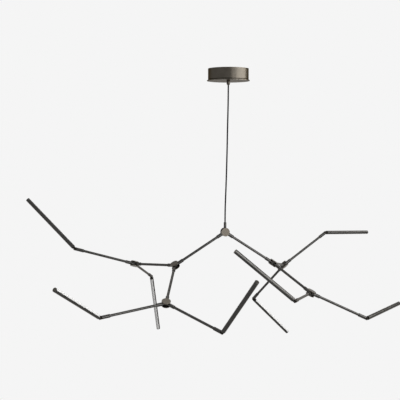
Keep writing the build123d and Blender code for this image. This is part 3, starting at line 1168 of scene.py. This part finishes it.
class PENDANT_OT_dress_elbows(Operator):
    """Finish the elbow sleeves, their forks and pins"""

    bl_idname = "pendant.dress_elbows"
    bl_label = "Dress Elbows"

    def execute(self, context):
        finish = context.scene.pendant_finish
        for head in HEADS:
            knuckle = knuckle_at(lamp_pivot(head), finish.knuckle_radius)
            sleeve = satin_bronze(f"bronze_elbow_{head}", finish, tube_tones, blasted, shade_and_knuckle_on=knuckle)
            dress(f"elbow_{head}", sleeve)
        return {"FINISHED"}


class PENDANT_OT_dress_lamps(Operator):
    """Finish the channel, diffuser and LED board of every head"""

    bl_idname = "pendant.dress_lamps"
    bl_label = "Dress LED Heads"

    def execute(self, context):
        finish = context.scene.pendant_finish
        opal = frosted_opal(finish)
        for head in HEADS:
            pivot = lamp_pivot(head)
            axis = lamp_axis(head)
            housing = f"lamp_{head}_housing"
            reach = reach_along(housing, pivot, axis)
            channel = satin_bronze(
                f"bronze_lamp_{head}_channel",
                finish,
                tube_tones,
                along_axes(pivot, [axis]),
                end_of(pivot, axis, reach),
                knuckle_at(pivot, finish.knuckle_radius),
            )
            dress(housing, channel)
            dress(f"lamp_{head}_diffuser", opal)
            dress(f"lamp_{head}_led_board", led_board(head, finish))
        return {"FINISHED"}


class PENDANT_OT_fit_set_screws(Operator):
    """Fit the set screws of the hub barrels and elbow sleeves"""

    bl_idname = "pendant.fit_set_screws"
    bl_label = "Fit Set Screws"

    def execute(self, context):
        finish = context.scene.pendant_finish
        fixings = context.scene.pendant_fixings
        steel = turned_metal("black_steel", finish.black_steel, 0.36)
        for hub in HUBS:
            directions = arms_of(hub)
            if hub:
                directions.append(-Vector(JOINTS[f"hub_{hub}_swivel"]["axis"]))
            outward = rear_side(hub_axis(hub))
            set_screws(
                f"hub_{hub}_set_screws",
                f"hub_{hub}_core",
                hub_centre(hub),
                directions,
                outward,
                hub_body(hub),
                fixings,
                steel,
            )
        for head in HEADS:
            sleeve = -Vector(JOINTS[f"elbow_{head}_swivel"]["axis"])
            outward = rear_side(Vector(JOINTS[f"lamp_{head}_tilt"]["axis"]))
            set_screws(
                f"elbow_{head}_set_screw",
                f"elbow_{head}",
                lamp_pivot(head),
                [sleeve],
                outward,
                f"elbow_{head}_fork",
                fixings,
                steel,
            )
        return {"FINISHED"}


class PENDANT_OT_fit_terminal_screws(Operator):
    """Fit the slotted screws in the wells of the terminal block"""

    bl_idname = "pendant.fit_terminal_screws"
    bl_label = "Fit Terminal Screws"

    def execute(self, context):
        fixings = context.scene.pendant_fixings
        low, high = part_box("terminal_block")
        pitch = (high.x - low.x) / len(TERMINAL_TURNS)
        mesh = bmesh.new()
        for way, degrees in enumerate(TERMINAL_TURNS):
            place = Vector((low.x + (way + 0.5) * pitch, (low.y + high.y) / 2, high.z))
            place.z -= fixings.terminal_screw_depth
            turn = Matrix.Rotation(math.radians(degrees), 4, "Z")
            rings = slotted_screw_rings(fixings.terminal_screw_diameter, TERMINAL_SHANK)
            add_rings(mesh, rings, Matrix.Translation(place) @ turn)
        brass = turned_metal("brass", context.scene.pendant_finish.brass, 0.3)
        new_piece("terminal_screws", mesh, brass, HANGING)
        return {"FINISHED"}


class PENDANT_OT_set_stage(Operator):
    """Set up the camera, the pale background, the floor and the studio light"""

    bl_idname = "pendant.set_stage"
    bl_label = "Set Stage"

    def execute(self, context):
        scene = context.scene
        stage = scene.pendant_stage
        scene.view_settings.view_transform = "Standard"
        self.add_camera(scene, stage)
        self.add_world(scene, stage)
        self.add_floor(scene, stage)
        self.add_lamp(scene, "key_lamp", stage.key_place, stage.key_size, stage.key_power)
        self.add_lamp(scene, "front_lamp", stage.front_place, stage.front_size, stage.front_power)
        self.add_lamp(scene, "top_lamp", stage.top_place, stage.top_size, stage.top_power)
        return {"FINISHED"}

    def add_camera(self, scene, stage):
        camera = bpy.data.objects.new("camera", bpy.data.cameras.new("camera"))
        camera.data.sensor_width = SENSOR_WIDTH
        camera.data.lens = stage.camera_lens
        camera.location = stage.camera_place
        camera.rotation_euler = (math.pi / 2 - stage.camera_pitch, 0.0, 0.0)
        scene.collection.objects.link(camera)
        scene.camera = camera

    def add_world(self, scene, stage):
        """Pale where it is seen. What it lights gets soft light, most of it from overhead."""
        world = bpy.data.worlds.new("studio")
        scene.world = world
        tree = NodeTree(world)
        direction = tree.node("ShaderNodeTexCoord", {}, {}, "Generated")
        seen = tree.seen()
        above = tree.ramp(tree.dot(direction, OVERHEAD), *OVERHEAD_SPAN)
        soft = (above * (1 - stage.front_light) + stage.front_light) * stage.room_light
        colour = tree.vector("SCALE", {0: stage.backdrop, "Scale": seen + (1 - seen) * soft})
        background = tree.node("ShaderNodeBackground", {}, {"Color": colour})
        tree.node("ShaderNodeOutputWorld", {}, {"Surface": background})

    def add_floor(self, scene, stage):
        """Round floor that keeps the light's shadow and fades into the background."""
        material, tree = new_material("pale_floor")
        distance = tree.vector("LENGTH", {0: tree.place()}, "Value")
        mottle = tree.noise(tree.place(), FLOOR_MOTTLE, 3.0)
        colour = tree.mix(mottle, *FLOOR_TONES)
        alpha = 1 - tree.ramp(distance, *FLOOR_FADE)
        glow = tree.vector("SCALE", {0: stage.backdrop, "Scale": tree.seen() * stage.floor_glow})
        tree.surface(
            Base_Color=colour,
            Roughness=0.8,
            Alpha=alpha,
            Emission_Color=glow,
            Emission_Strength=1.0,
        )
        mesh = bmesh.new()
        bmesh.ops.create_circle(mesh, cap_ends=True, segments=FLOOR_POINTS, radius=FLOOR_RADIUS)
        data = bpy.data.meshes.new("floor")
        mesh.to_mesh(data)
        mesh.free()
        data.materials.append(material)
        floor = bpy.data.objects.new("floor", data)
        floor.location = (0.0, 0.0, -stage.floor_drop)
        scene.collection.objects.link(floor)

    def add_lamp(self, scene, name, place, size, power):
        """Soft rectangular lamp that is turned towards the middle of the light."""
        data = bpy.data.lights.new(name, "AREA")
        data.shape = "RECTANGLE"
        data.size, data.size_y = size
        data.energy = power
        lamp = bpy.data.objects.new(name, data)
        lamp.location = place
        lamp.visible_camera = False
        aim = (CAD_BOX[0] + CAD_BOX[1]) / 2 - lamp.location
        lamp.rotation_euler = aim.to_track_quat("-Z", "Y").to_euler()
        scene.collection.objects.link(lamp)


OPERATORS = (
    PENDANT_OT_dress_canopy,
    PENDANT_OT_dress_ceiling_fittings,
    PENDANT_OT_hang_cord,
    PENDANT_OT_dress_hubs,
    PENDANT_OT_dress_arms,
    PENDANT_OT_dress_elbows,
    PENDANT_OT_dress_lamps,
    PENDANT_OT_fit_set_screws,
    PENDANT_OT_fit_terminal_screws,
    PENDANT_OT_set_stage,
)


class PENDANT_PT_sidebar(Panel):
    """Lists the light's settings and the steps that make it"""

    bl_label = "Branching LED Pendant"
    bl_idname = "PENDANT_PT_sidebar"
    bl_space_type = "VIEW_3D"
    bl_region_type = "UI"
    bl_category = "Pendant"

    def draw(self, context):
        scene = context.scene
        for group in (scene.pendant_finish, scene.pendant_fixings, scene.pendant_stage):
            box = self.layout.box()
            for name in group.__annotations__:
                box.prop(group, name)
        for operator in OPERATORS:
            self.layout.operator(operator.bl_idname)


GROUPS = {
    "pendant_finish": PendantFinish,
    "pendant_fixings": PendantFixings,
    "pendant_stage": PendantStage,
}


def register():
    for group in GROUPS.values():
        bpy.utils.register_class(group)
    for name, group in GROUPS.items():
        setattr(bpy.types.Scene, name, PointerProperty(type=group))
    for operator in OPERATORS:
        bpy.utils.register_class(operator)
    bpy.utils.register_class(PENDANT_PT_sidebar)


def unregister():
    bpy.utils.unregister_class(PENDANT_PT_sidebar)
    for operator in reversed(OPERATORS):
        bpy.utils.unregister_class(operator)
    for name in GROUPS:
        delattr(bpy.types.Scene, name)
    for group in reversed(GROUPS.values()):
        bpy.utils.unregister_class(group)


def main():
    register()
    bpy.ops.pendant.dress_canopy()
    bpy.ops.pendant.dress_ceiling_fittings()
    bpy.ops.pendant.hang_cord()
    bpy.ops.pendant.dress_hubs()
    bpy.ops.pendant.dress_arms()
    bpy.ops.pendant.dress_elbows()
    bpy.ops.pendant.dress_lamps()
    bpy.ops.pendant.fit_set_screws()
    bpy.ops.pendant.fit_terminal_screws()
    bpy.ops.pendant.set_stage()


if __name__ == "__main__":
    main()
